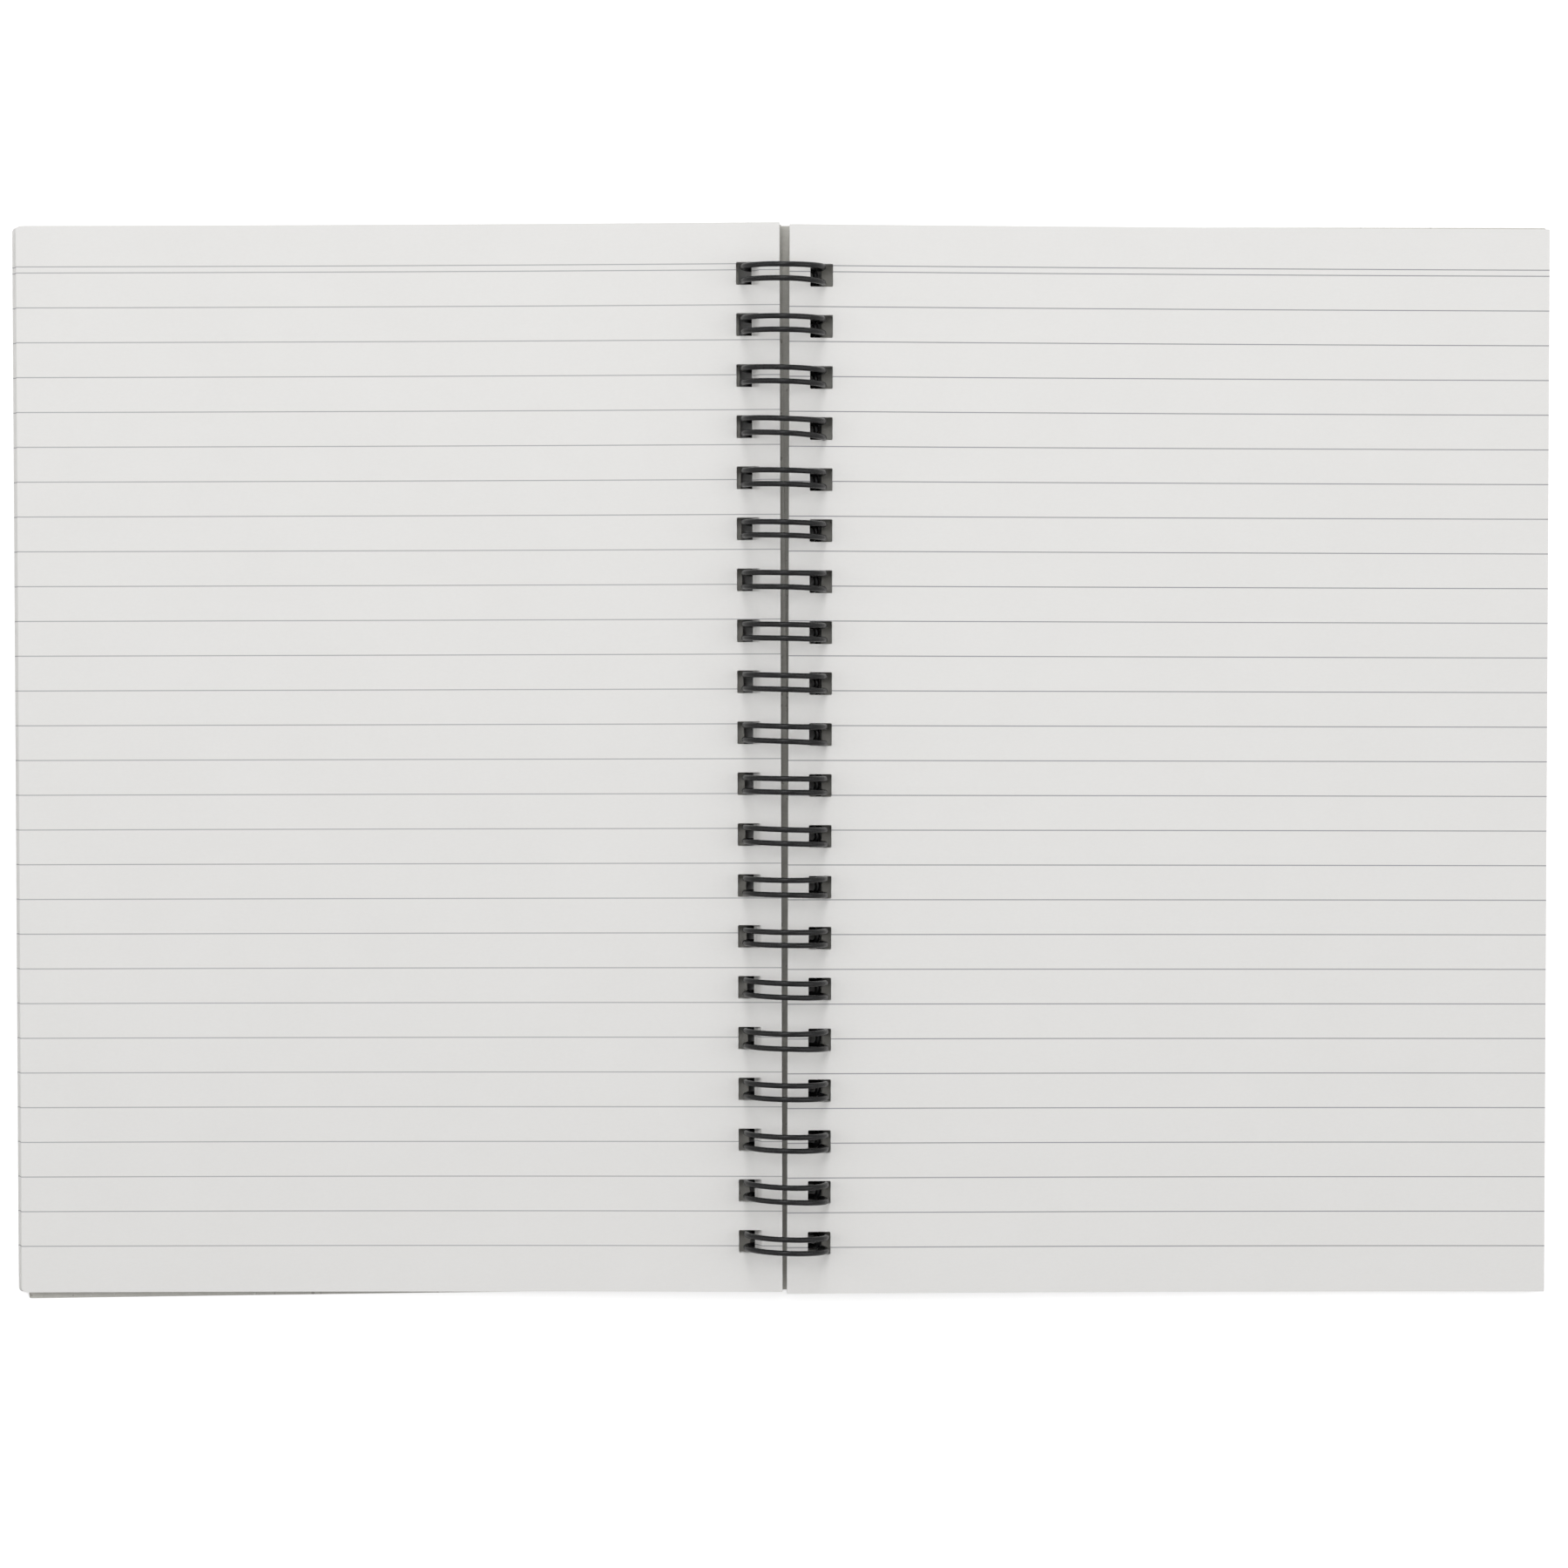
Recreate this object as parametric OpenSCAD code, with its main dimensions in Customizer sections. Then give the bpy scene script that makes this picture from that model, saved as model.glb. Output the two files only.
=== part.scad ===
// Open wire-bound notebook lying on its covers, in millimetres.
// X runs across the spread, +Y runs up the page, +Z is up from the table.
// The spine's centre line is over the origin, and the table is at Z = 0.

/* [Sheets] */
// Width of one ruled sheet, from spine edge to outer edge
sheet_w = 127; // [100:1:220]
// Height of one ruled sheet, along the spine
sheet_h = 177.8; // [90:0.1:300]
// Thickness of each of the two stacks of sheets
stack_t = 2.5; // [1:0.1:2.6]
// How far the lowest left sheets have slid out from under the top one
fan_slide = 0.9; // [0:0.05:0.9]
// Turn of the left stack on the table, counter-clockwise, in degrees
left_turn = 0.17; // [0:0.01:0.2]
// Turn of the right stack on the table, counter-clockwise, in degrees
right_turn = -0.14; // [-0.2:0.01:0]
// How far the left stack has slipped up the spine, and the right one down
stack_slip = 0.15; // [0:0.01:0.2]

/* [Binding holes] */
// Distance from one hole to the next
hole_pitch = 8.467; // [8:0.001:8.6]
// Side of each square hole
hole_side = 3.8; // [3.8:0.05:4.2]
// Strip of paper between a hole and the spine edge
hole_margin = 3.42; // [3.2:0.01:3.5]
// Least strip of paper between the last hole and the end of the sheet
end_margin = 4; // [3:0.1:12]
// Play between the rings and the outer side of the holes in the sheets
hole_play = 0.7; // [0.6:0.05:1.2]
// Half of the gap between the spine edges of the two stacks
half_gap = 0.63; // [0.48:0.01:2.48]

/* [Covers] */
// Thickness of the grey board covers
cover_t = 0.5; // [0.3:0.05:0.5]
// How far from the centre line a cover has come down flat on the table
cover_bend = 60; // [20:1:110]
// Distance of the back cover's holes from the centre line
back_hole_x = 2.4; // [2.3:0.01:2.5]
// Distance of the front cover's holes from the centre line
front_hole_x = 2.86; // [2.7:0.01:3]
// Turn of the front cover on the table, counter-clockwise, in degrees
front_cover_turn = 0.72; // [0:0.01:0.72]
// How far the front cover has slipped up the spine
front_cover_slip = 0.12; // [0:0.01:0.12]

/* [Twin-loop wire] */
// Thickness of the coated wire
wire_d = 0.9; // [0.7:0.05:0.9]
// Distance between the two wires of a loop, centre to centre
loop_w = 2.3; // [2.2:0.05:2.4]
// Bend radius where a loop turns into the straight link to the next
link_bend_r = 0.9; // [0.8:0.05:1]
// Distance between the loop tips and the line of the links, along the ring
tip_gap = 0.35; // [0.3:0.05:0.8]
// Clear height between the links and the underside of the right stack
seam_gap = 0.22; // [0.2:0.01:0.6]
// Turn of the whole wire on the table, counter-clockwise, in degrees
wire_turn = 0.2; // [0:0.01:0.2]

/* [Hidden] */
$fn = 96;

// Rings: the sheets hang in them by their holes, so the holes and the gap at the spine set their diameter.
// They touch the table, so their centre is as high as their outside radius.
spine_x = half_gap;
ring_d = 2 * (spine_x + hole_margin + hole_side - hole_play);
ring_z = ring_d / 2;
ring_r = (ring_d - wire_d) / 2;
bore_r = ring_r - wire_d / 2;

// Holes: as many as the sheet has room for, centred on its height.
hole_count = floor((sheet_h - 2 * end_margin - hole_side) / hole_pitch) + 1;
function hole_y(i) = (i - (hole_count - 1) / 2) * hole_pitch;

// Stacks: each reaches from its spine edge to its outer edge.
outer_x = spine_x + sheet_w;

// Each stack climbs in a parabola to its spine edge, where its top sheet stays just below the rings'
// centre. A stack that is turned right over then lies clear on top of the other one.
centre_drop = 0.15;
spine_rise = ring_z - centre_drop - stack_t - cover_t;
function climb(x) = spine_rise * pow(1 - min(1, max(0, (x - spine_x) / sheet_w)), 2);
function stack_z(x, level) = cover_t + level + climb(x);
stack_steps = 16;
leaf_groups = 4;

// Covers: their margins cross inside the rings, the front cover's over the back cover's.
wall_gap = 0.25;
margin_gap = 0.3;
margin_flat = 1;
back_margin_z = ring_z - sqrt(pow(bore_r, 2) - pow(back_hole_x, 2)) + wall_gap;
front_margin_z = back_margin_z + cover_t + margin_gap;
bend_steps = 10;

// Spare length by which a shape that cuts or is cut stands over.
over = 1;

// Closed outline between an upper and a lower line of the same length.
module band(upper, lower, length) {
    rotate([90, 0, 0])
        linear_extrude(length, center = true)
            polygon(concat(upper, [for (i = [len(lower) - 1:-1:0]) lower[i]]));
}

// Row of square holes with their spine side at x, as posts that reach over the rings.
module hole_posts(x) {
    for (i = [0:hole_count - 1])
        translate([x, hole_y(i) - hole_side / 2, -over])
            cube([hole_side, hole_side, ring_d + 2 * over]);
}

// One group of sheets of the stack on the +X side, between two levels of the pile.
module leaf_group(level, thick, slide) {
    xs = concat([for (i = [0:stack_steps]) spine_x + i * sheet_w / stack_steps], [outer_x + slide + over]);
    intersection() {
        band(
            [for (x = xs) [x, stack_z(x, level + thick)]],
            [for (x = xs) [x, stack_z(x, level)]],
            sheet_h + 2 * over
        );
        difference() {
            translate([spine_x + slide, -sheet_h / 2, -over])
                cube([sheet_w, sheet_h, ring_d]);
            hole_posts(spine_x + slide + hole_margin);
        }
    }
}

// Stack of sheets on the +X side, whose lower groups have slid out by a share of slide.
module stack(groups, slide) {
    thick = stack_t / groups;
    for (i = [0:groups - 1])
        leaf_group(i * thick, thick, slide * (groups - 1 - i) / max(1, groups - 1));
}

// Height of a cover's underside: flat inside the rings, then down to the table.
function cover_z(x, margin_z, flat_x) =
    margin_z * (x < flat_x ? 1 : x > cover_bend ? 0 : (1 + cos(180 * (x - flat_x) / (cover_bend - flat_x))) / 2);

// Cover on the +X side, with its spine margin lifted to margin_z.
module cover(margin_z, hole_x) {
    inner = hole_x - hole_margin;
    flat_x = hole_x + hole_side + margin_flat;
    xs = concat(
        [inner],
        [for (i = [0:bend_steps]) flat_x + i * (cover_bend - flat_x) / bend_steps],
        [outer_x]
    );
    difference() {
        band(
            [for (x = xs) [x, cover_z(x, margin_z, flat_x) + cover_t]],
            [for (x = xs) [x, cover_z(x, margin_z, flat_x)]],
            sheet_h
        );
        hole_posts(hole_x);
    }
}

module front_cover() {
    color("dimgray")
        translate([0, front_cover_slip, 0])
            rotate([0, 0, front_cover_turn])
                mirror([1, 0, 0])
                    cover(front_margin_z, front_hole_x);
}

module left_pages() {
    color("whitesmoke")
        translate([0, stack_slip, 0])
            rotate([0, 0, left_turn])
                mirror([1, 0, 0])
                    stack(leaf_groups, fan_slide);
}

module right_pages() {
    color("whitesmoke")
        translate([0, -stack_slip, 0])
            rotate([0, 0, right_turn])
                stack(1, 0);
}

module back_cover() {
    color("dimgray")
        cover(back_margin_z, back_hole_x);
}

// Wire of thickness d bent in an arc of radius r about +Z, from the +X axis through a sweep.
module wire_arc(r, sweep, d) {
    rotate_extrude(angle = sweep)
        translate([r, 0])
            circle(d = d, $fn = 24);
}

// Places its children on the ring at an angle: +X then points outwards and +Z on round the ring.
module on_ring(angle) {
    translate([0, 0, ring_z])
        rotate([0, -angle, 0])
            translate([ring_r, 0, 0])
                children();
}

// The seam is on the lower right. The links lie right under the right stack, because a sheet can't pass
// them. A loop starts at the links, runs over the top and ends in its tip beside them.
link_z = stack_z(ring_r, 0) - seam_gap - wire_d / 2;
seam_angle = asin((ring_z - link_z) / ring_r);
deg_per_mm = 180 / (PI * ring_r);
link_end = link_bend_r * deg_per_mm - seam_angle;
tip_end = 360 - seam_angle - (tip_gap + loop_w / 2) * deg_per_mm;

// The wire is a hair thinner where it is bent sharply, and each end of a bend is let into the part beyond it.
bend_step = 0.03;
bend_d = wire_d - bend_step;
let_in = 4;

// Sharp bend of radius r that turns the wire through an angle.
module sharp_bend(r, angle) {
    rotate([0, 0, -let_in])
        wire_arc(r, angle + 2 * let_in, bend_d);
}

// One arm of a hairpin loop.
module arm(y) {
    translate([0, y, ring_z])
        rotate([90, 0, 0])
            rotate([0, 0, link_end])
                wire_arc(ring_r, tip_end - link_end, wire_d);
}

// Half circle that joins the two arms at the loop's tip.
module tip_bend() {
    on_ring(tip_end)
        rotate([90, 0, -90])
            sharp_bend(loop_w / 2, 180);
}

// Quarter circle from an arm to the straight link beyond it.
module link_bend() {
    on_ring(link_end)
        translate([0, loop_w / 2 + link_bend_r, 0])
            rotate([-90, 0, -90])
                sharp_bend(link_bend_r, 90);
}

// Straight wire between the bends of two loops, or a stub at each end of the binding.
module link(length) {
    on_ring(link_end)
        translate([0, loop_w / 2 + link_bend_r, -link_bend_r])
            rotate([-90, 0, 0])
                cylinder(h = length, d = wire_d, $fn = 24);
}

link_len = hole_pitch - loop_w - 2 * link_bend_r;
stub_len = link_len / 3;

module twin_loop_wire() {
    color([0.12, 0.12, 0.13])
        rotate([0, 0, wire_turn])
            for (i = [0:hole_count - 1])
                translate([0, hole_y(i), 0]) {
                    arm(loop_w / 2);
                    arm(-loop_w / 2);
                    tip_bend();
                    link_bend();
                    mirror([0, 1, 0]) link_bend();
                    link(i < hole_count - 1 ? link_len : stub_len);
                    if (i == 0) mirror([0, 1, 0]) link(stub_len);
                }
}

front_cover();
left_pages();
right_pages();
back_cover();
twin_loop_wire();
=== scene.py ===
# Open wire-bound notebook on a pale table: sheets, covers, wire, light and camera.
# Shapes are drawn in millimetres and scaled to metres when a piece is finished.
import math
import random

import bmesh
import bpy
from mathutils import Matrix, Vector


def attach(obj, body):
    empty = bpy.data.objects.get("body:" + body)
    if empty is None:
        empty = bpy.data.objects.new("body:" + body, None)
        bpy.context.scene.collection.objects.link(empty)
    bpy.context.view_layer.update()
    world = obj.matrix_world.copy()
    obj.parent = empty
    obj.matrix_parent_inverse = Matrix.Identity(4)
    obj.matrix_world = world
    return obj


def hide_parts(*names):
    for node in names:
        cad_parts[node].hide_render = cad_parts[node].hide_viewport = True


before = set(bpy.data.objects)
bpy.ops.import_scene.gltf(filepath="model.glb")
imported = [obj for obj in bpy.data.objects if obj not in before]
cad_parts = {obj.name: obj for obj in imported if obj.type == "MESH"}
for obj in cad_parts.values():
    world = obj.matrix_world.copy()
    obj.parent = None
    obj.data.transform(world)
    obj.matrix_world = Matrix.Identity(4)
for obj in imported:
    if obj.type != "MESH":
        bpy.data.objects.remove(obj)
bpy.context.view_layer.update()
scene = bpy.context.scene
shake = random.Random(7)  # the same small irregularities in every run
print("frame loaded:", ", ".join(sorted(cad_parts)))

# sizes that the sheets, covers and wire share
binding = {
    "holes": 20,
    "pitch": 8.467,
    "holeSide": 3.8,
    "holeCorner": 0.22,
    "holeMargin": 3.42,  # from a hole to the spine edge
    "ringCentre": 7.15,
    "sheetWidth": 126.95,
    "sheetHeight": 177.8,
    "sheetStart": 0.63,  # spine edge of a stack, from the centre line
    "boardThick": 0.5,
}


def holeCentre(i):
    return (i - (binding["holes"] - 1) / 2) * binding["pitch"]


def everything(bm):
    return bm.verts[:] + bm.edges[:] + bm.faces[:]


def onlyOf(geom, kind):
    return [g for g in geom if isinstance(g, kind)]


def turnAbout(bm, axis, angle, verts):
    matrix = Matrix.Rotation(math.radians(angle), 3, axis)
    bmesh.ops.rotate(bm, cent=(0, 0, 0), matrix=matrix, verts=verts)


def roundCorners(bm, corners, radius, segments):
    bmesh.ops.bevel(
        bm, geom=corners, affect="VERTICES",
        offset=radius, segments=segments, profile=0.5, material=-1,
    )


# Flat sheet on the +X side with its row of punched holes, cut across where it will bend.
def punchedSheet(start, end, height, holeStart, rounding, bends):
    bm = bmesh.new()
    middle = (start + end) / 2
    outline = bmesh.ops.create_grid(bm, x_segments=1, y_segments=1, size=0.5)["verts"]
    bmesh.ops.scale(bm, vec=(end - start, height, 1), verts=outline)
    bmesh.ops.translate(bm, vec=(middle, 0, 0), verts=outline)
    roundCorners(bm, [v for v in outline if v.co.x > middle], rounding, 5)
    side = binding["holeSide"]
    for i in range(binding["holes"]):
        hole = bmesh.ops.create_grid(bm, x_segments=1, y_segments=1, size=side / 2)["verts"]
        bmesh.ops.translate(bm, vec=(holeStart + side / 2, holeCentre(i), 0), verts=hole)
        roundCorners(bm, hole, binding["holeCorner"], 3)
    bmesh.ops.delete(bm, geom=bm.faces[:], context="FACES_ONLY")
    bmesh.ops.triangle_fill(bm, edges=bm.edges[:], use_beauty=True, normal=(0, 0, 1))
    for x in bends:
        bmesh.ops.bisect_plane(
            bm, geom=everything(bm), dist=1e-4, plane_co=(x, 0, 0), plane_no=(1, 0, 0)
        )
    return bm


# Gives a flat sheet its thickness, upwards.
def thicken(bm, thick):
    grown = bmesh.ops.extrude_face_region(bm, geom=bm.faces[:])["geom"]
    bmesh.ops.translate(bm, vec=(0, 0, thick), verts=onlyOf(grown, bmesh.types.BMVert))
    bmesh.ops.recalc_face_normals(bm, faces=bm.faces[:])


# Lays a drawing on its side of the spine, turned and slipped as it lies on the table.
def layDown(bm, mirrored, turn, slip):
    if mirrored:
        bmesh.ops.scale(bm, vec=(-1, 1, 1), verts=bm.verts[:])
        bmesh.ops.reverse_faces(bm, faces=bm.faces[:])
    turnAbout(bm, "Z", turn, bm.verts[:])
    bmesh.ops.translate(bm, vec=(0, slip, 0), verts=bm.verts[:])


# Turns a drawing into a piece of the notebook that stands for its CAD node.
def finishPiece(name, bm, material, node, body, smooth=False):
    bmesh.ops.scale(bm, vec=(0.001, 0.001, 0.001), verts=bm.verts[:])
    for face in bm.faces:
        face.smooth = smooth
    mesh = bpy.data.meshes.new(name)
    bm.to_mesh(mesh)
    bm.free()
    mesh.materials.append(material)
    piece = bpy.data.objects.new(name, mesh)
    scene.collection.objects.link(piece)
    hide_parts(node)
    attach(piece, body)
    mesh.calc_loop_triangles()
    print("made", name, "with", len(mesh.loop_triangles), "triangles")


# One node with its settings, then its inputs by name or number: a link where a socket is given.
def addNode(tree, kind, inputs=None, **settings):
    node = tree.nodes.new(kind)
    for key, value in settings.items():
        setattr(node, key, value)
    for key, value in (inputs or {}).items():
        if isinstance(value, bpy.types.NodeSocket):
            tree.links.new(value, node.inputs[key])
        else:
            node.inputs[key].default_value = value
    return node


def sums(tree, operation, a, b=0.0, c=0.0, clamp=False):
    inputs = {0: a, 1: b, 2: c}
    node = addNode(tree, "ShaderNodeMath", inputs, operation=operation, use_clamp=clamp)
    return node.outputs[0]


# Stretches the values from low to high over a new range.
def mapped(tree, value, low, high, newLow=0.0, newHigh=1.0):
    inputs = {0: value, 1: low, 2: high, 3: newLow, 4: newHigh}
    return addNode(tree, "ShaderNodeMapRange", inputs).outputs[0]


def blendColours(tree, factor, a, b):
    return addNode(tree, "ShaderNodeMix", {0: factor, 6: a, 7: b}, data_type="RGBA").outputs[2]


def startMaterial(name):
    material = bpy.data.materials.new(name)
    material.use_nodes = True
    tree = material.node_tree
    return material, tree, tree.nodes["Principled BSDF"]


def newGroup(name, inputs, outputs):
    group = bpy.data.node_groups.new(name, "ShaderNodeTree")
    for label, kind, value in inputs:
        socket = group.interface.new_socket(
            name=label, in_out="INPUT", socket_type="NodeSocket" + kind
        )
        if value is not None:
            socket.default_value = value
    for label, kind in outputs:
        group.interface.new_socket(name=label, in_out="OUTPUT", socket_type="NodeSocket" + kind)
    return group, group.nodes.new("NodeGroupInput").outputs, group.nodes.new("NodeGroupOutput")


# Cloudy tone and a fine felted surface, as paper, board and a dipped coat have at their own scales.
def makeFelt():
    group, given, out = newGroup(
        "feltedSurface",
        [
            ("Vector", "Vector", None),
            ("Cloud Scale", "Float", 120.0),
            ("Fibre Scale", "Float", 2500.0),
            ("Fibre Share", "Float", 0.5),
        ],
        [("Tone", "Float"), ("Height", "Float")],
    )
    cloud = addNode(group, "ShaderNodeTexNoise", {
        "Vector": given["Vector"], "Scale": given["Cloud Scale"], "Detail": 4.0, "Roughness": 0.6,
    })
    stretched = addNode(group, "ShaderNodeMapping", {
        "Vector": given["Vector"], "Scale": (0.45, 1.0, 1.0),
    })
    fibre = addNode(group, "ShaderNodeTexNoise", {
        "Vector": stretched.outputs[0], "Scale": given["Fibre Scale"],
        "Detail": 3.0, "Roughness": 0.65,
    })
    tone = addNode(group, "ShaderNodeMix", {
        0: given["Fibre Share"], 2: cloud.outputs[0], 3: fibre.outputs[0],
    }, data_type="FLOAT")
    group.links.new(tone.outputs[0], out.inputs["Tone"])
    group.links.new(fibre.outputs[0], out.inputs["Height"])
    return group


# Scattered specks, of the kind that recycled board carries.
def makeSpecks():
    group, given, out = newGroup(
        "scatteredSpecks",
        [("Vector", "Vector", None), ("Scale", "Float", 900.0), ("Size", "Float", 0.2)],
        [("Mask", "Float")],
    )
    ragged = {"scale": 1800.0, "reach": 0.0008}  # how finely and how far their outlines are bent
    crispness = 12.0
    bent = addNode(group, "ShaderNodeTexNoise", {
        "Vector": given["Vector"], "Scale": ragged["scale"], "Detail": 1.0,
    })
    nudge = addNode(
        group, "ShaderNodeVectorMath", {0: bent.outputs[1], 3: ragged["reach"]}, operation="SCALE"
    )
    place = addNode(
        group, "ShaderNodeVectorMath", {0: given["Vector"], 1: nudge.outputs[0]}, operation="ADD"
    )
    cells = addNode(group, "ShaderNodeTexVoronoi", {
        "Vector": place.outputs[0], "Scale": given["Scale"], "Randomness": 1.0,
    })
    chance = addNode(group, "ShaderNodeSeparateColor", {0: cells.outputs["Color"]})
    reach = sums(group, "MULTIPLY", given["Size"], chance.outputs[0])
    inside = sums(group, "SUBTRACT", reach, cells.outputs["Distance"])
    mask = sums(group, "MULTIPLY", inside, crispness, clamp=True)
    group.links.new(mask, out.inputs["Mask"])
    return group


feltGroup = makeFelt()
speckGroup = makeSpecks()
print("shared surface groups ready")


# Roughness, fine bump and shine, set the same way on paper, board and coat.
def finishSurface(tree, bsdf, rough, height, look):
    strength, distance = look["bump"]
    bump = addNode(
        tree, "ShaderNodeBump", {"Strength": strength, "Distance": distance, "Height": height}
    )
    tree.links.new(rough, bsdf.inputs["Roughness"])
    tree.links.new(bump.outputs[0], bsdf.inputs["Normal"])
    bsdf.inputs["Specular IOR Level"].default_value = look["shine"]


paper = {
    "colour": (0.80, 0.793, 0.78, 1),
    "shade": (0.745, 0.737, 0.722, 1),
    "ink": (0.335, 0.335, 0.35, 1),
    "lineWidth": 0.17,
    "headLine": 6.85,  # from the top edge of the sheet
    "firstLine": 7.865,
    "lineStep": 5.7923,
    "lines": 29,
    "bleed": 0.02,  # how far the ink runs at a line's edges
    "felt": {"Cloud Scale": 90.0, "Fibre Scale": 3200.0, "Fibre Share": 0.55},
    "cloud": 0.32,  # how much shade the clouds bring in
    "leafShare": 0.8,  # and how much a leaf's own tone does
    "roughness": (0.80, 0.94),
    "bump": (0.12, 0.00003),  # strength, and height in metres
    "shine": 0.25,
}


# Thin printed rules from edge to edge: one head line, and a row of lines below it.
def makeRules():
    group, given, out = newGroup("printedRules", [("Down", "Float", 0.0)], [("Mask", "Float")])
    down = given["Down"]  # mm below the sheet's top edge
    step = paper["lineStep"]
    count = sums(group, "DIVIDE", sums(group, "SUBTRACT", down, paper["firstLine"]), step)
    nearest = sums(group, "MAXIMUM", sums(group, "ROUND", count), 0.0)
    nearest = sums(group, "MINIMUM", nearest, paper["lines"] - 1.0)
    rowGap = sums(group, "ABSOLUTE", sums(group, "SUBTRACT", count, nearest))
    rowGap = sums(group, "MULTIPLY", rowGap, step)
    headGap = sums(group, "ABSOLUTE", sums(group, "SUBTRACT", down, paper["headLine"]))
    gap = sums(group, "MINIMUM", rowGap, headGap)
    edge = sums(group, "SUBTRACT", paper["lineWidth"] / 2 + paper["bleed"], gap)
    mask = sums(group, "MULTIPLY", edge, 0.5 / paper["bleed"], clamp=True)
    group.links.new(mask, out.inputs["Mask"])
    return group


rulesGroup = makeRules()


def ruledPaper(name, pile):
    material, tree, bsdf = startMaterial(name)
    place = addNode(tree, "ShaderNodeTexCoord").outputs["Object"]
    square = addNode(tree, "ShaderNodeMapping", {
        "Vector": place,
        "Location": (0, -pile["slip"] * 0.001, 0),
        "Rotation": (0, 0, -math.radians(pile["turn"])),
    })
    axes = addNode(tree, "ShaderNodeSeparateXYZ", {0: square.outputs[0]})
    down = sums(tree, "MULTIPLY_ADD", axes.outputs[1], -1000.0, binding["sheetHeight"] / 2)
    rules = addNode(tree, "ShaderNodeGroup", {"Down": down}, node_tree=rulesGroup)
    felt = addNode(tree, "ShaderNodeGroup", {"Vector": place, **paper["felt"]}, node_tree=feltGroup)
    leaf = addNode(tree, "ShaderNodeAttribute", attribute_name="leafTone")
    cloud = mapped(tree, felt.outputs["Tone"], 0.35, 0.65, 0.0, paper["cloud"])
    tone = sums(tree, "MULTIPLY_ADD", leaf.outputs["Fac"], paper["leafShare"], cloud, clamp=True)
    sheet = blendColours(tree, tone, paper["colour"], paper["shade"])
    ink = sums(tree, "MULTIPLY", rules.outputs[0], pile["inkShare"])
    tree.links.new(blendColours(tree, ink, sheet, paper["ink"]), bsdf.inputs["Base Color"])
    rough = mapped(tree, felt.outputs["Height"], 0.0, 1.0, *paper["roughness"])
    finishSurface(tree, bsdf, rough, felt.outputs["Height"], paper)
    return material


stack = {
    "leaves": 25,
    "thick": 2.5,
    "leafThick": 0.084,
    "rise": 4.0,  # how high the spine edge is lifted by the rings
    "creases": 22,  # strips that a leaf's curve is made of
    "creaseSpread": 1.3,  # above 1 they are narrower towards the spine
    "fanSteps": (0.0, 0.25, 0.5, 1.0),  # share of the slide from the top leaves to the lowest
    "creepEnd": 25.0,  # how far from the spine leaves have crept
    "untidy": 0.04,  # how far a leaf may lie off its place
    "askew": 0.15,  # degrees that it may turn for each millimetre of that
    "topTone": 0.25,  # how far the top leaf goes from colour to shade
    "tones": (0.0, 0.9),  # and the range of the leaves under it
}
leftPile = {
    "turn": 0.17,
    "slip": 0.15,
    "fan": 0.8,  # slide of the lowest leaves
    "crept": 0.4,  # and how much further they have crept at the holes
    "fanTurn": 0.03,  # their extra turn, in degrees
    "rounding": 0.8,  # worn corners, because these leaves have been turned
    "inkShare": 0.78,
}
rightPile = {
    "turn": -0.14,
    "slip": -0.15,
    "fan": 0.0,
    "crept": 0.0,
    "fanTurn": 0.0,
    "rounding": 0.15,
    "inkShare": 1.0,
}


def climb(x):
    part = (x - binding["sheetStart"]) / binding["sheetWidth"]
    return stack["rise"] * (1 - min(1, max(0, part))) ** 2


# Stack of single leaves, the top one last.
def leafPile(name, node, mirrored, pile):
    start = binding["sheetStart"]
    width = binding["sheetWidth"]
    height = binding["sheetHeight"] - 2 * stack["untidy"]
    creases = stack["creases"]
    bends = [start + width * (k / creases) ** stack["creaseSpread"] for k in range(1, creases)]
    holeStart = start + binding["holeMargin"]
    bm = punchedSheet(start, start + width, height, holeStart, pile["rounding"], bends)
    thicken(bm, stack["leafThick"])
    toneLayer = bm.faces.layers.float.new("leafTone")
    pattern = everything(bm)
    count = stack["leaves"]
    pitch = stack["thick"] / count
    for i in range(count):
        last = i == count - 1
        geom = pattern if last else bmesh.ops.duplicate(bm, geom=pattern)["geom"]
        verts = onlyOf(geom, bmesh.types.BMVert)
        share = stack["fanSteps"][(count - 1 - i) * len(stack["fanSteps"]) // count]
        wobble = 0 if last else stack["untidy"]
        tone = stack["topTone"] if last else shake.uniform(*stack["tones"])
        for face in onlyOf(geom, bmesh.types.BMFace):
            face[toneLayer] = tone
        askew = shake.uniform(-1, 1) * wobble * stack["askew"]
        turnAbout(bm, "Z", -pile["fanTurn"] * share + askew, verts)
        across = pile["fan"] * share + shake.uniform(-1, 1) * wobble
        along = shake.uniform(-1, 1) * wobble
        level = binding["boardThick"] + (i + 1) * pitch - stack["leafThick"]
        bmesh.ops.translate(bm, vec=(across, along, level), verts=verts)
        for v in verts:
            v.co.x += pile["crept"] * share * max(0, 1 - v.co.x / stack["creepEnd"])
    for v in bm.verts:
        v.co.z += climb(v.co.x)
    layDown(bm, mirrored, pile["turn"], pile["slip"])
    finishPiece(name, bm, ruledPaper(name + "Paper", pile), node, node)


leafPile("leftLeaves", "left_pages", True, leftPile)
leafPile("rightLeaves", "right_pages", False, rightPile)


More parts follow.
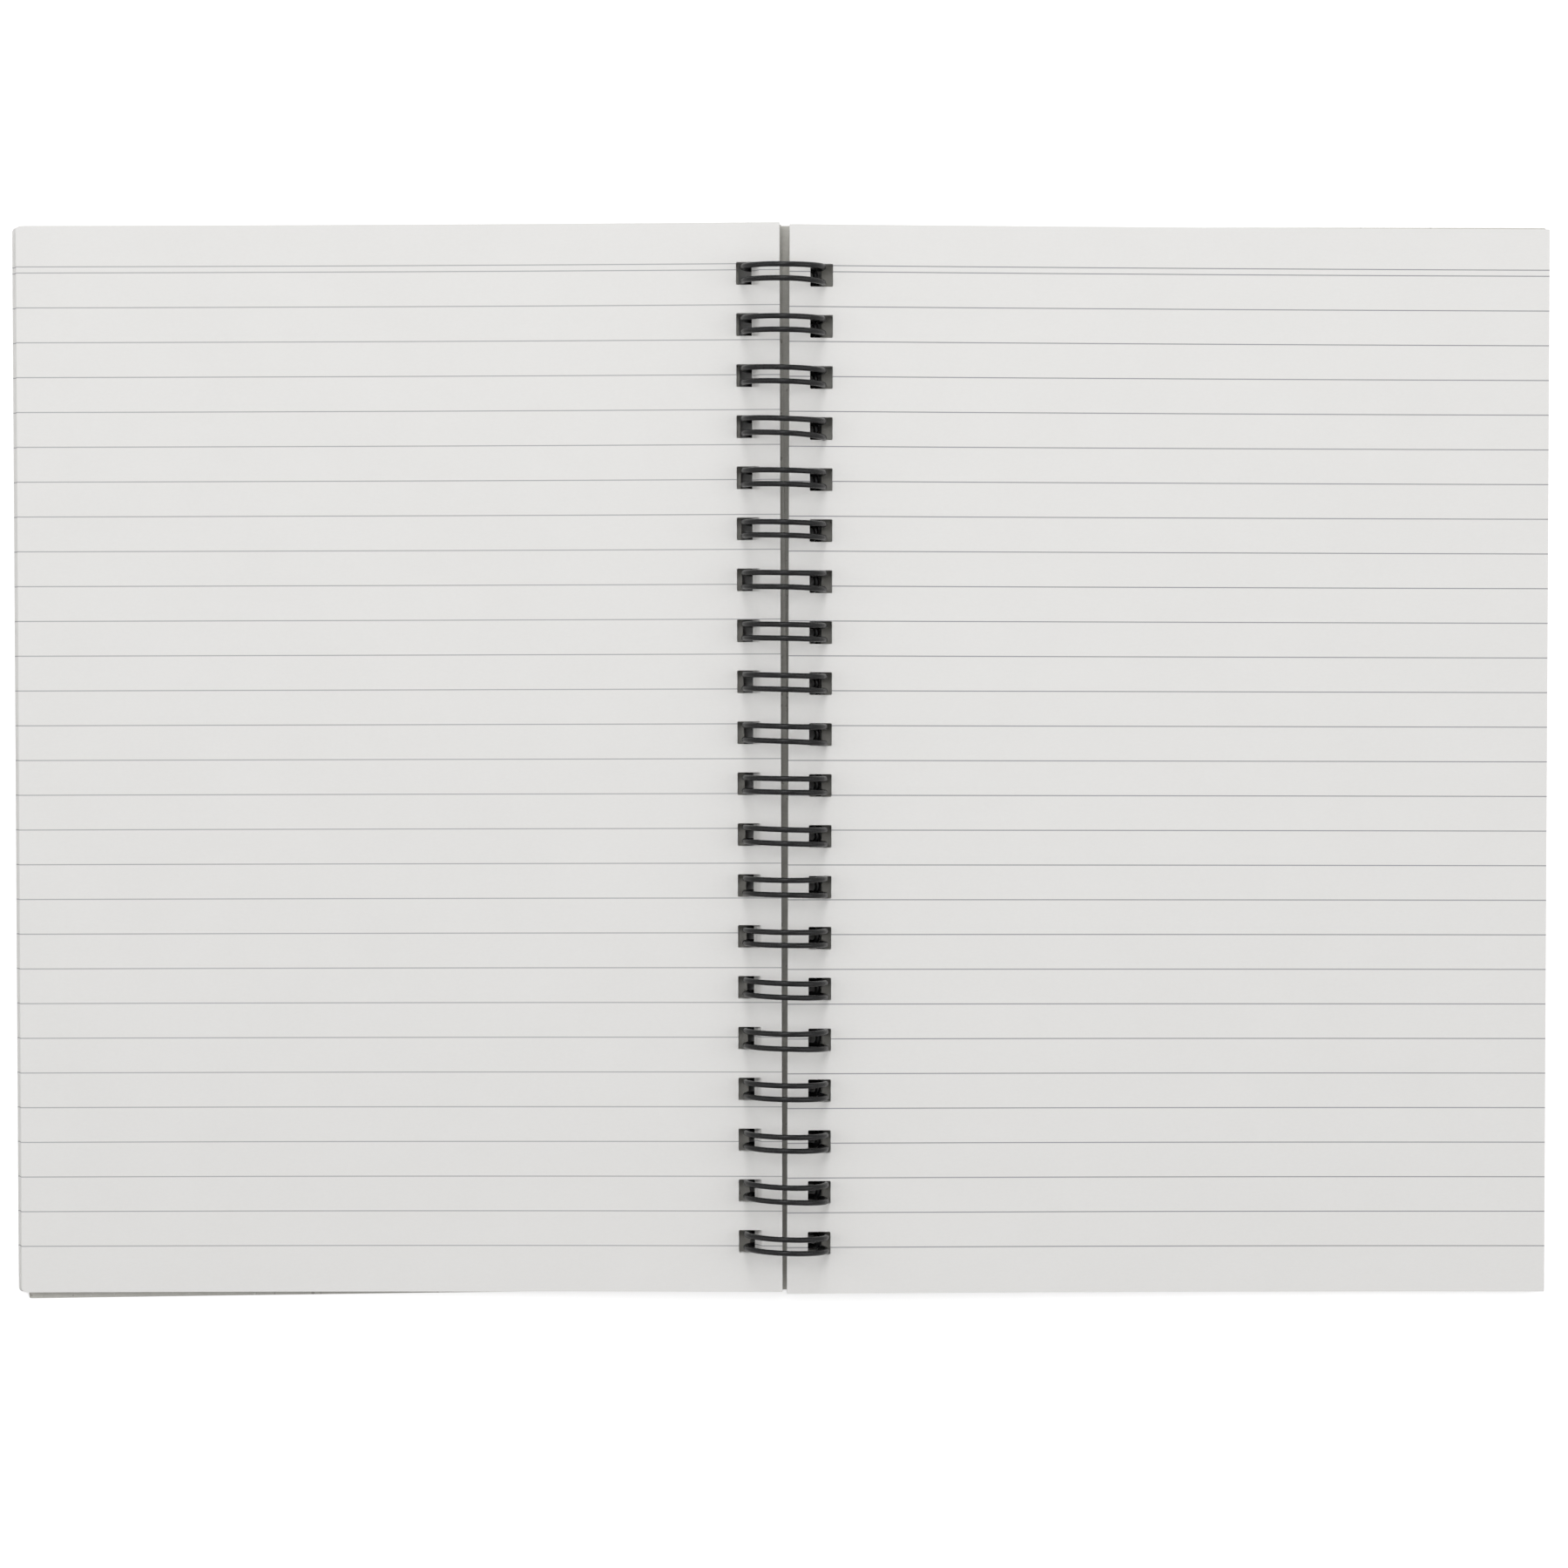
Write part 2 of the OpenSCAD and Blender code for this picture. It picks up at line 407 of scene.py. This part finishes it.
board = {
    "colour": (0.655, 0.645, 0.605, 1),
    "shade": (0.575, 0.565, 0.525, 1),
    "darkSpeck": (0.30, 0.285, 0.255, 1),
    "darkSpecks": {"Scale": 700.0, "Size": 0.26},
    "darkShare": 0.6,
    "lightSpeck": (0.78, 0.775, 0.75, 1),
    "lightSpecks": {"Scale": 1100.0, "Size": 0.24},
    "lightShare": 0.5,
    "felt": {"Cloud Scale": 160.0, "Fibre Scale": 2200.0, "Fibre Share": 0.6},
    "roughness": (0.74, 0.92),
    "bump": (0.3, 0.00006),
    "shine": 0.25,
    "rounding": 0.3,
    "edgeRound": 0.07,
    "flatPast": 1.0,  # flat margin beyond the holes
    "flatFrom": 60.0,  # from here out it lies on the table
    "bendSteps": 18,
}
frontCover = {
    "holeX": 2.86,  # holes from the centre line
    "margin": 2.429,  # height of the lifted spine margin
    "turn": 0.72,
    "slip": 0.12,
}
backCover = {
    "holeX": 2.4,
    "margin": 1.629,
    "turn": 0.0,
    "slip": 0.0,
}


def greyBoard():
    material, tree, bsdf = startMaterial("greyBoard")
    place = addNode(tree, "ShaderNodeTexCoord").outputs["Object"]
    felt = addNode(tree, "ShaderNodeGroup", {"Vector": place, **board["felt"]}, node_tree=feltGroup)
    tone = mapped(tree, felt.outputs["Tone"], 0.33, 0.67)
    colour = blendColours(tree, tone, board["shade"], board["colour"])
    for kind in ("dark", "light"):
        inputs = {"Vector": place, **board[kind + "Specks"]}
        specks = addNode(tree, "ShaderNodeGroup", inputs, node_tree=speckGroup)
        share = sums(tree, "MULTIPLY", specks.outputs[0], board[kind + "Share"])
        colour = blendColours(tree, share, colour, board[kind + "Speck"])
    tree.links.new(colour, bsdf.inputs["Base Color"])
    rough = mapped(tree, felt.outputs["Height"], 0.0, 1.0, *board["roughness"])
    finishSurface(tree, bsdf, rough, felt.outputs["Height"], board)
    return material


boardMaterial = greyBoard()


# Height of a cover's underside: flat inside the rings, then down to the table.
def boardHeight(x, lifted, flatX):
    if x < flatX:
        return lifted
    if x > board["flatFrom"]:
        return 0
    return lifted * (1 + math.cos(math.pi * (x - flatX) / (board["flatFrom"] - flatX))) / 2


def coverBoard(name, node, body, mirrored, cover):
    holeX = cover["holeX"]
    start = holeX - binding["holeMargin"]
    end = binding["sheetStart"] + binding["sheetWidth"]
    flatX = holeX + binding["holeSide"] + board["flatPast"]
    steps = board["bendSteps"]
    bends = [flatX + k * (board["flatFrom"] - flatX) / steps for k in range(steps + 1)]
    bm = punchedSheet(start, end, binding["sheetHeight"], holeX, board["rounding"], bends)
    thicken(bm, binding["boardThick"])
    sharp = 1.2  # radians: the rims, but not the steps of a rounded corner
    rims = [e for e in bm.edges if len(e.link_faces) == 2 and e.calc_face_angle(0) > sharp]
    bmesh.ops.bevel(
        bm, geom=rims, affect="EDGES",
        offset=board["edgeRound"], segments=2, profile=0.5, material=-1,
    )
    for v in bm.verts:
        v.co.z += boardHeight(v.co.x, cover["margin"], flatX)
    layDown(bm, mirrored, cover["turn"], cover["slip"])
    finishPiece(name, bm, boardMaterial, node, body)


coverBoard("frontBoard", "front_cover", "front_cover", True, frontCover)
coverBoard("backBoard", "back_cover", "base", False, backCover)


wire = {
    "thick": 0.9,
    "sides": 16,
    "arcSteps": 56,
    "tipSteps": 12,
    "linkSteps": 6,
    "ring": 6.7,  # radius of the wire's middle line
    "loopWidth": (2.12, 2.3),
    "wideEvery": 3,
    "wideLoop": 0.14,  # every third loop stands this much wider
    "flare": (0.03, 0.2),  # spread of each arm towards the seam, in a plain and in a wide loop
    "linkFlare": (90, 0),  # angles on the ring from where to where it grows, towards the links
    "tipFlare": (270, 330),  # and towards the tip
    "lean": (0.9, 2.8),  # how far loops lean down the page to the right, in degrees
    "strayed": 0.04,  # how far they sit off their even pitch
    "drawnIn": 0.014,  # how much closer the loops stand than the holes
    "linkBend": 0.9,
    "linkAt": -25.75,  # angle on the ring where the arms end at the links
    "tipAt": 313.72,
    "seamAt": 320,  # between the tip and the links of the next round
    "turn": 0.2,
    "stub": 1.456,  # straight wire beyond the first and the last loop
    "endRound": 0.12,  # of the cut ends
    "colour": (0.003, 0.003, 0.0033, 1),
    "rubbed": (0.009, 0.009, 0.0098, 1),
    "felt": {"Cloud Scale": 350.0, "Fibre Scale": 5200.0, "Fibre Share": 0.4},
    "roughness": (0.19, 0.35),
    "bump": (0.25, 0.00002),
    "shine": 0.22,
}


def blackCoat():
    material, tree, bsdf = startMaterial("blackCoat")
    place = addNode(tree, "ShaderNodeTexCoord").outputs["Object"]
    felt = addNode(tree, "ShaderNodeGroup", {"Vector": place, **wire["felt"]}, node_tree=feltGroup)
    tone = mapped(tree, felt.outputs["Tone"], 0.38, 0.66)
    colour = blendColours(tree, tone, wire["colour"], wire["rubbed"])
    tree.links.new(colour, bsdf.inputs["Base Color"])
    rough = mapped(tree, felt.outputs["Tone"], 0.3, 0.7, *wire["roughness"])
    finishSurface(tree, bsdf, rough, felt.outputs["Height"], wire)
    return material


# Point on the ring at an angle, with the directions outwards and on round the ring.
def onRing(angle):
    a = math.radians(angle)
    outward = Vector((math.cos(a), 0, math.sin(a)))
    onward = Vector((-math.sin(a), 0, math.cos(a)))
    return Vector((0, 0, binding["ringCentre"])) + outward * wire["ring"], outward, onward


# Carries an end ring of the wire round a bend, and gives back the new end ring.
def swing(bm, ring, centre, axis, angle, steps):
    verts = list({v for e in ring for v in e.verts})
    made = bmesh.ops.spin(
        bm, geom=verts + ring, cent=centre, axis=axis, angle=math.radians(angle), steps=steps
    )
    return onlyOf(made["geom_last"], bmesh.types.BMEdge)


# How near the seam a point of a loop is: from 0 on top and underneath up to 1 at the links.
def nearSeam(x, z):
    around = math.degrees(math.atan2(z - binding["ringCentre"], x)) % 360
    if around > wire["seamAt"]:
        around -= 360
    begin, full = wire["linkFlare"] if around < 180 else wire["tipFlare"]
    return min(1, max(0, (around - begin) / (full - begin)))


# One hairpin loop about its own middle: link bend, arm over the top, tip, and the same way back.
def hairpin(width, flare, lean, stubStart, stubEnd):
    bm = bmesh.new()
    bend = wire["linkBend"]
    arc = wire["tipAt"] - wire["linkAt"]
    aside = Vector((0, width / 2 + bend, 0))
    base, outward, onward = onRing(wire["linkAt"])
    tip, tipOutward, _ = onRing(wire["tipAt"])
    disc = bmesh.ops.create_circle(
        bm, segments=wire["sides"], radius=wire["thick"] / 2, cap_ends=False
    )["verts"]
    turnAbout(bm, "X", 90, disc)
    bmesh.ops.translate(bm, vec=base - onward * bend - aside, verts=disc)
    firstRing = list({e for v in disc for e in v.link_edges})
    ring = swing(bm, firstRing, base - aside, outward, 90, wire["linkSteps"])
    near = (0, -width / 2, binding["ringCentre"])
    ring = swing(bm, ring, near, (0, -1, 0), arc, wire["arcSteps"])
    ring = swing(bm, ring, tip, tipOutward, -180, wire["tipSteps"])
    far = (0, width / 2, binding["ringCentre"])
    ring = swing(bm, ring, far, (0, 1, 0), arc, wire["arcSteps"])
    ring = swing(bm, ring, base + aside, outward, 90, wire["linkSteps"])
    for v in bm.verts:
        away = nearSeam(v.co.x, v.co.z)
        spread = flare * away * away * (3 - 2 * away) * min(1, abs(v.co.y) / (width / 2))
        v.co.y += math.copysign(spread, v.co.y) - math.tan(math.radians(lean)) * v.co.x
    for end, way, length in ((firstRing, -1, stubStart), (ring, 1, stubEnd)):
        if length:
            grown = bmesh.ops.extrude_edge_only(bm, edges=end)["geom"]
            stub = onlyOf(grown, bmesh.types.BMVert)
            bmesh.ops.translate(bm, vec=(0, way * length, 0), verts=stub)
    return bm


# One continuous wire: twenty hairpins, joined by straight links.
def bentWire():
    bm = bmesh.new()
    last = binding["holes"] - 1
    for i in range(binding["holes"]):
        wide = (last - i) % wire["wideEvery"] == 0
        width = shake.uniform(*wire["loopWidth"]) + wide * wire["wideLoop"]
        lean = shake.uniform(*wire["lean"])
        stubStart = (i == 0) * wire["stub"]
        stubEnd = (i == last) * wire["stub"]
        loop = hairpin(width, wire["flare"][wide], lean, stubStart, stubEnd)
        stray = shake.uniform(-1, 1) * wire["strayed"] - (i - last / 2) * wire["drawnIn"]
        bmesh.ops.translate(loop, vec=(0, holeCentre(i) + stray, 0), verts=loop.verts[:])
        part = bpy.data.meshes.new("hairpin")
        loop.to_mesh(part)
        loop.free()
        bm.from_mesh(part)
        bpy.data.meshes.remove(part)
    ends = [e for e in bm.edges if e.is_boundary]
    ends.sort(key=lambda e: (e.verts[0].co.y + e.verts[1].co.y) / 2)
    sides = wire["sides"]
    rings = [ends[k:k + sides] for k in range(0, len(ends), sides)]
    for k in range(1, len(rings) - 1, 2):
        bmesh.ops.bridge_loops(bm, edges=rings[k] + rings[k + 1])
    for end in (rings[0], rings[-1]):
        cap = bmesh.ops.edgeloop_fill(bm, edges=end)["faces"]
        bmesh.ops.bevel(
            bm, geom=[e for f in cap for e in f.edges], affect="EDGES",
            offset=wire["endRound"], segments=3, profile=0.5, material=-1,
        )
    bmesh.ops.recalc_face_normals(bm, faces=bm.faces[:])
    turnAbout(bm, "Z", wire["turn"], bm.verts[:])
    finishPiece("twinLoops", bm, blackCoat(), "twin_loop_wire", "base", smooth=True)


bentWire()


table = {
    "radius": 1.05,  # metres, within the lamps' reach, so that it stays white to its rim
    "below": 0.00003,  # so that no underside shares its plane
    "colour": (0.66, 0.66, 0.66, 1),
    "roughness": 0.9,
    "lift": 0.66,  # what the camera sees on top of the lit colour, in the open
    "reach": 0.012,  # how near the notebook takes that away, which paints shade on the floor near and under it
    "covered": (0.25, 0.55),  # openness up to which it is gone, and from which it is whole: the painted shade fades out between them
}


# 1 where the camera sees a surface, directly or in gloss or glass, and 0 where it only gives light.
def seenDirectly(tree):
    rays = addNode(tree, "ShaderNodeLightPath")
    seen = sums(tree, "ADD", rays.outputs["Is Camera Ray"], rays.outputs["Is Glossy Ray"])
    return sums(tree, "ADD", seen, rays.outputs["Is Transmission Ray"], clamp=True)


def paleTable():
    material, tree, bsdf = startMaterial("paleTable")
    bsdf.inputs["Base Color"].default_value = table["colour"]
    bsdf.inputs["Roughness"].default_value = table["roughness"]
    bsdf.inputs["Specular IOR Level"].default_value = 0.0
    bsdf.inputs["Emission Color"].default_value = (1, 1, 1, 1)
    # Painted shade: ambient occlusion takes the camera-only lift away near and under the notebook,
    # so the floor there shows darker, like a contact shadow.
    openness = addNode(
        tree, "ShaderNodeAmbientOcclusion", {"Distance": table["reach"]}, samples=12
    )
    liftPastPaintedShade = mapped(tree, openness.outputs["AO"], *table["covered"], 0.0, table["lift"])
    lift = sums(tree, "MULTIPLY", seenDirectly(tree), liftPastPaintedShade)
    tree.links.new(lift, bsdf.inputs["Emission Strength"])
    bm = bmesh.new()
    bmesh.ops.create_circle(bm, cap_ends=True, segments=96, radius=table["radius"])
    bmesh.ops.translate(bm, vec=(0, 0, -table["below"]), verts=bm.verts[:])
    mesh = bpy.data.meshes.new("tableTop")
    bm.to_mesh(mesh)
    bm.free()
    mesh.materials.append(material)
    top = bpy.data.objects.new("tableTop", mesh)
    scene.collection.objects.link(top)


paleTable()


light = {
    "ambient": 0.37,
    "lamps": (
        # name, place, width, length, power
        ("stripBox", (0.0, 0.42, 0.56), 0.16, 0.62, 1.1),
        ("overheadBox", (-0.15, 0.13, 0.60), 0.2, 0.2, 0.47),
        ("lowWindow", (0.0, 0.95, 0.42), 0.9, 0.5, 1.55),
        ("leftSoftbox", (-0.75, 0.05, 0.6), 0.5, 0.8, 2.0),
        ("rightSoftbox", (0.75, 0.05, 0.6), 0.5, 0.8, 2.8),
    ),
}


# White room to look at, which lights the notebook at the ambient level only, and lamps aimed at it.
def softLight():
    world = bpy.data.worlds.new("whiteRoom")
    world.use_nodes = True
    tree = world.node_tree
    backdrop = tree.nodes["Background"]
    backdrop.inputs["Color"].default_value = (1, 1, 1, 1)
    ambient = light["ambient"]
    level = sums(tree, "MULTIPLY_ADD", seenDirectly(tree), 1.0 - ambient, ambient)
    tree.links.new(level, backdrop.inputs["Strength"])
    scene.world = world
    for name, place, width, length, power in light["lamps"]:
        lamp = bpy.data.lights.new(name, "AREA")
        lamp.shape = "RECTANGLE"
        lamp.size = width
        lamp.size_y = length
        lamp.energy = power
        hung = bpy.data.objects.new(name, lamp)
        hung.location = place
        hung.rotation_euler = (-hung.location).to_track_quat("-Z", "Y").to_euler()
        scene.collection.objects.link(hung)


softLight()

camera = {
    "place": (-9.655, 9.184, 776.547),
    "turn": (-0.0173, -0.0124, 0.0001),  # radians
    "angle": 19.206,  # of view, in degrees
}
lens = bpy.data.cameras.new("overhead")
lens.angle = math.radians(camera["angle"])
overhead = bpy.data.objects.new("overhead", lens)
overhead.location = [0.001 * c for c in camera["place"]]
overhead.rotation_euler = camera["turn"]
scene.collection.objects.link(overhead)
scene.camera = overhead
scene.view_settings.view_transform = "Standard"
print("table, light and camera ready")

bpy.context.view_layer.update()
